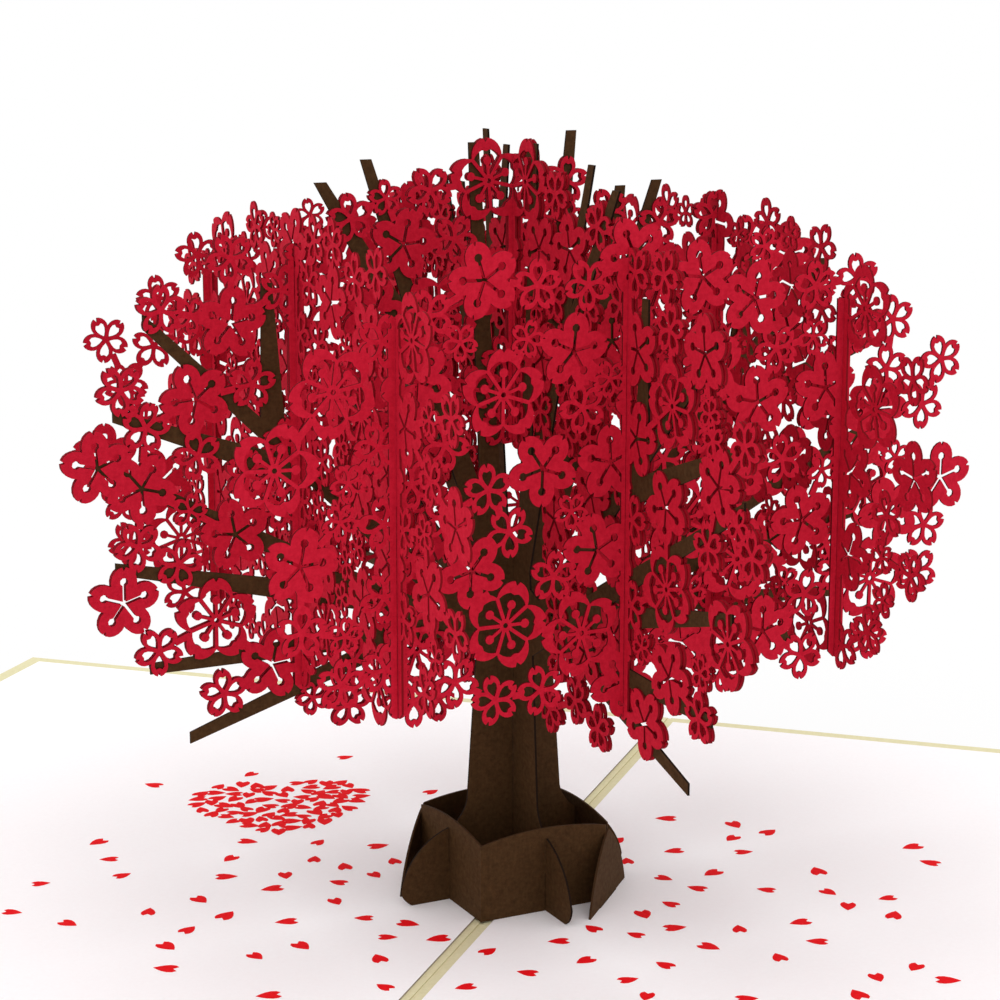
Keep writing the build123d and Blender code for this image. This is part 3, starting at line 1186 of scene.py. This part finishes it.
def fibre_nodes(tree: bpy.types.NodeTree) -> None:
    """Fibre: cloudy mottle plus two layers of short streaks that cross; tone and height come out.

    Args:
        tree: Empty tree of the group.
    """
    source, result = group_ends(tree, ("Vector",), ("Mottle Scale", "Fibre Scale"), ("Tone", "Height"))
    mottle = add_node(tree, "ShaderNodeTexNoise", Detail=5.0, Roughness=0.65)
    fibres = add_node(tree, "ShaderNodeMath", operation="ADD")
    for layer, stretch in enumerate(STREAKS):
        mapping = add_node(tree, "ShaderNodeMapping", Scale=stretch)
        streak = add_node(tree, "ShaderNodeTexNoise", Detail=3.0, Roughness=0.55)
        join(tree, (source, "Vector", mapping, "Vector"), (mapping, "Vector", streak, "Vector"),
             (source, "Fibre Scale", streak, "Scale"), (streak, 0, fibres, layer))
    both = add_node(tree, "ShaderNodeMath", operation="MULTIPLY_ADD")
    both.inputs[1].default_value = STREAK_SHARE
    tone = add_node(tree, "ShaderNodeMapRange", From_Min=TONE_RANGE[0], From_Max=TONE_RANGE[1])
    join(tree, (source, "Vector", mottle, "Vector"), (source, "Mottle Scale", mottle, "Scale"),
         (fibres, 0, both, 0), (mottle, 0, both, 2), (both, 0, tone, "Value"), (tone, 0, result, "Tone"),
         (fibres, 0, result, "Height"))


def edge_nodes(tree: bpy.types.NodeTree) -> None:
    """Cut edge, darkened partly as the paper's own edge and partly as painted shade: one where the surface
    turns away from the face of the sheet.

    Args:
        tree: Empty tree of the group.
    """
    source, result = group_ends(tree, ("Normal", "Face"), (), ("Edge",))
    dot = add_node(tree, "ShaderNodeVectorMath", operation="DOT_PRODUCT")
    size = add_node(tree, "ShaderNodeMath", operation="ABSOLUTE")
    mask = add_node(tree, "ShaderNodeMapRange", From_Min=EDGE_RANGE[0], From_Max=EDGE_RANGE[1])
    join(tree, (source, "Normal", dot, 0), (source, "Face", dot, 1), (dot, "Value", size, 0),
         (size, 0, mask, "Value"), (mask, 0, result, "Edge"))


@dataclass(frozen=True)
class Paper:
    """Matte paper of one colour, with mottled fibre and darker cut edges whose dark is partly the paper's
    own edge and partly painted shade; bump depth is in metres.
    """

    name: str
    dark: Colour
    light: Colour
    edge: Colour
    face: Triple
    roughness: Pair = (0.72, 0.9)
    bump: float = 0.15
    bump_depth: float = 0.00008
    specular: float = 0.08
    mottle: float = 1500.0
    fibre: float = 2600.0

    def material(self) -> bpy.types.Material:
        """Builds the material: fibre tone mixes the two colours, and the edge mask lays on the third, a
        darker edge colour that is partly the paper's own and partly painted shade.

        Returns:
            The material.
        """
        made = bpy.data.materials.new(self.name)
        made.use_nodes = True
        tree = made.node_tree
        shader = tree.nodes["Principled BSDF"]
        shader.inputs["Specular IOR Level"].default_value = self.specular
        place = add_node(tree, "ShaderNodeTexCoord")
        fibre = add_node(tree, "ShaderNodeGroup", node_tree=EffectGroup.FIBRE.tree())
        fibre.inputs["Mottle Scale"].default_value = self.mottle
        fibre.inputs["Fibre Scale"].default_value = self.fibre
        edge = add_node(tree, "ShaderNodeGroup", node_tree=EffectGroup.EDGE.tree())
        edge.inputs["Face"].default_value = self.face
        tone = add_node(tree, "ShaderNodeMix", data_type="RGBA")
        tone.inputs[MIX_FIRST].default_value = linear(self.dark)
        tone.inputs[MIX_SECOND].default_value = linear(self.light)
        cut = add_node(tree, "ShaderNodeMix", data_type="RGBA")
        cut.inputs[MIX_SECOND].default_value = linear(self.edge)
        gloss = add_node(tree, "ShaderNodeMapRange", To_Min=self.roughness[1], To_Max=self.roughness[0])
        bump = add_node(tree, "ShaderNodeBump", Strength=self.bump, Distance=self.bump_depth)
        join(tree, (place, "Object", fibre, "Vector"), (place, "Normal", edge, "Normal"),
             (fibre, "Tone", tone, MIX_FACTOR), (edge, "Edge", cut, MIX_FACTOR),
             (tone, MIX_RESULT, cut, MIX_FIRST), (cut, MIX_RESULT, shader, "Base Color"),
             (fibre, "Tone", gloss, "Value"), (gloss, 0, shader, "Roughness"),
             (fibre, "Height", bump, "Height"), (bump, "Normal", shader, "Normal"))
        return made


class Finish(Enum):
    """Papers of the card."""

    # Cut-edge colours are partly the paper's own edge and partly painted shade; the crimson edge is painted
    # darker on sheets of direction A than on those of direction B, to match how dark the outlines look at
    # each direction's turn to the light and camera
    CRIMSON_A = Paper("crimson_a", (178, 18, 41), (204, 27, 52), (96, 5, 15), tuple(Diagonal.A.normal))
    CRIMSON_B = Paper("crimson_b", (178, 18, 41), (204, 27, 52), (122, 9, 21), tuple(Diagonal.B.normal))
    BARK_A = Paper("bark_a", (59, 39, 21), (80, 55, 31), (30, 18, 10), tuple(Diagonal.A.normal))
    BARK_B = Paper("bark_b", (59, 39, 21), (80, 55, 31), (30, 18, 10), tuple(Diagonal.B.normal))
    BARK_RING = Paper("bark_ring", (59, 39, 21), (80, 55, 31), (66, 45, 27), (1.0, 0.0, 0.0))
    CREAM = Paper("cream_card", (220, 213, 170), (231, 225, 186), (196, 188, 142), (0.0, 0.0, 1.0))
    WHITE = Paper("white_liner", (252, 249, 250), (255, 253, 254), (150, 140, 128), (0.0, 0.0, 1.0))
    INK = Paper("petal_ink", (224, 8, 18), (236, 14, 25), (216, 8, 18), (0.0, 0.0, 1.0), bump=0.1)


@dataclass
class Dresser:
    """Gives each piece its finish, and makes every finish once."""

    made: dict[Finish, bpy.types.Material] = field(default_factory=dict)

    def dress(self, piece: bpy.types.Object, finish: Finish) -> None:
        """Puts one finish on a piece.

        Args:
            piece: The piece.
            finish: Its paper.
        """
        if finish not in self.made:
            self.made[finish] = finish.value.material()
        piece.data.materials.clear()
        piece.data.materials.append(self.made[finish])
        log.info("%s: %s", piece.name, finish.value.name)

    def dress_solids(self) -> None:
        """Dresses the pieces of card and bark, which keep their solids."""
        nodes = {Finish.CREAM: ("card_cover",), Finish.WHITE: ("liner_left", "liner_right"),
                 Finish.BARK_A: ("trunk_slice_a",), Finish.BARK_B: ("trunk_slice_b",),
                 Finish.BARK_RING: ("root_ring_front", "root_ring_back", "root_panel_left",
                                    "root_panel_right")}
        for finish, names in nodes.items():
            for name in names:
                self.dress(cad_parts[name], finish)


# Studio


@dataclass
class Studio:
    """White floor, soft light and the camera; its own lengths are metres."""

    view: Viewpoint = VIEW
    near_clip: float = 0.01
    floor_half: float = 4.0
    floor_level: float = -0.0003
    floor_grey: float = 0.9
    floor_roughness: float = 0.9
    floor_near: Pair = (0.15, 0.8)
    floor_far: Pair = (0.5, 1.0)
    world_light: float = 0.92
    key_power: float = 7.5
    key_size: float = 1.6
    key_place: Triple = (0.1, -0.42, 1.42)
    key_aim: Triple = (0.0, 0.0, 0.05)

    def set_up(self) -> None:
        """Makes the floor, the world, the lamp and the camera."""
        self.floor()
        self.world()
        self.key()
        self.camera()
        bpy.context.scene.view_settings.view_transform = "Standard"

    @staticmethod
    def seen(tree: bpy.types.NodeTree) -> bpy.types.Node:
        """Adds what is one for rays that show the background as it is: camera, glossy, transmission.

        Args:
            tree: Tree that takes the nodes.

        Returns:
            The node whose output it is.
        """
        path = add_node(tree, "ShaderNodeLightPath")
        first = add_node(tree, "ShaderNodeMath", operation="MAXIMUM")
        second = add_node(tree, "ShaderNodeMath", operation="MAXIMUM")
        join(tree, (path, "Is Camera Ray", first, 0), (path, "Is Glossy Ray", first, 1),
             (first, 0, second, 0), (path, "Is Transmission Ray", second, 1))
        return second

    def floor(self) -> None:
        """Pale floor that stays white to the camera, apart from a soft shadow near the card."""
        half, level = self.floor_half / MM, self.floor_level / MM
        points = np.array([(-half, -half, level), (half, -half, level), (half, half, level),
                           (-half, half, level)])
        floor = mesh_piece("floor", points, np.array([(0, 1, 2), (0, 2, 3)]))
        made = bpy.data.materials.new("white_floor")
        made.use_nodes = True
        tree = made.node_tree
        shader = tree.nodes["Principled BSDF"]
        shader.inputs["Base Color"].default_value = (self.floor_grey, self.floor_grey, self.floor_grey, 1.0)
        shader.inputs["Roughness"].default_value = self.floor_roughness
        shader.inputs["Specular IOR Level"].default_value = 0.0
        white = add_node(tree, "ShaderNodeEmission", Color=FULL_WHITE, Strength=1.0)
        place = add_node(tree, "ShaderNodeTexCoord")
        away = add_node(tree, "ShaderNodeVectorMath", operation="LENGTH")
        glow = add_node(tree, "ShaderNodeMapRange", From_Min=self.floor_near[0], From_Max=self.floor_far[0],
                        To_Min=self.floor_near[1], To_Max=self.floor_far[1])
        share = add_node(tree, "ShaderNodeMath", operation="MULTIPLY")
        mix = add_node(tree, "ShaderNodeMixShader")
        join(tree, (place, "Object", away, 0), (away, "Value", glow, "Value"),
             (self.seen(tree), 0, share, 0), (glow, 0, share, 1), (share, 0, mix, 0),
             (shader, 0, mix, 1), (white, 0, mix, 2), (mix, 0, tree.nodes["Material Output"], "Surface"))
        floor.data.materials.append(made)

    def world(self) -> None:
        """White all round to the camera, and a weaker even light on the object."""
        world = bpy.data.worlds.new("white_room")
        world.use_nodes = True
        bpy.context.scene.world = world
        tree = world.node_tree
        background = tree.nodes["Background"]
        background.inputs["Color"].default_value = FULL_WHITE
        level = add_node(tree, "ShaderNodeMapRange", To_Min=self.world_light, To_Max=1.0)
        join(tree, (self.seen(tree), 0, level, "Value"), (level, 0, background, "Strength"))

    def key(self) -> None:
        """Large soft lamp high in front."""
        lamp = bpy.data.lights.new("key", "AREA")
        lamp.energy = self.key_power
        lamp.size = self.key_size
        place = bpy.data.objects.new("key", lamp)
        place.location = self.key_place
        aim = Vector(self.key_aim) - place.location
        place.rotation_euler = aim.to_track_quat("-Z", "Y").to_euler()
        bpy.context.scene.collection.objects.link(place)

    def camera(self) -> None:
        """Camera at the photograph's viewpoint, with its lens and sensor width."""
        data = bpy.data.cameras.new("camera")
        data.lens = self.view.lens
        data.sensor_width = self.view.sensor
        data.clip_start = self.near_clip
        camera = bpy.data.objects.new("camera", data)
        camera.location = Vector(self.view.place) * MM
        turn = (math.radians(90 - self.view.pitch), 0.0, math.radians(self.view.yaw))
        camera.rotation_euler = Euler(turn, "XYZ")
        bpy.context.scene.collection.objects.link(camera)
        bpy.context.scene.camera = camera


def main() -> None:
    """Builds the studio and every piece in order, and reports each one."""
    logging.basicConfig(level=logging.INFO, format="%(message)s")
    Studio().set_up()
    dresser = Dresser()
    dresser.dress_solids()
    for sheet in Foliage().sheets():
        piece = sheet.build()
        log.info("%s: %d triangles", piece.name, len(piece.data.polygons))
        dresser.dress(piece, Finish.CRIMSON_A if sheet.diagonal is Diagonal.A else Finish.CRIMSON_B)
    for printed in (PrintedPetals("liner_left", side=-1, seed=21, heart=True),
                    PrintedPetals("liner_right", side=1, seed=34)):
        dresser.dress(printed.build(), Finish.INK)


if __name__ == "__main__":
    main()
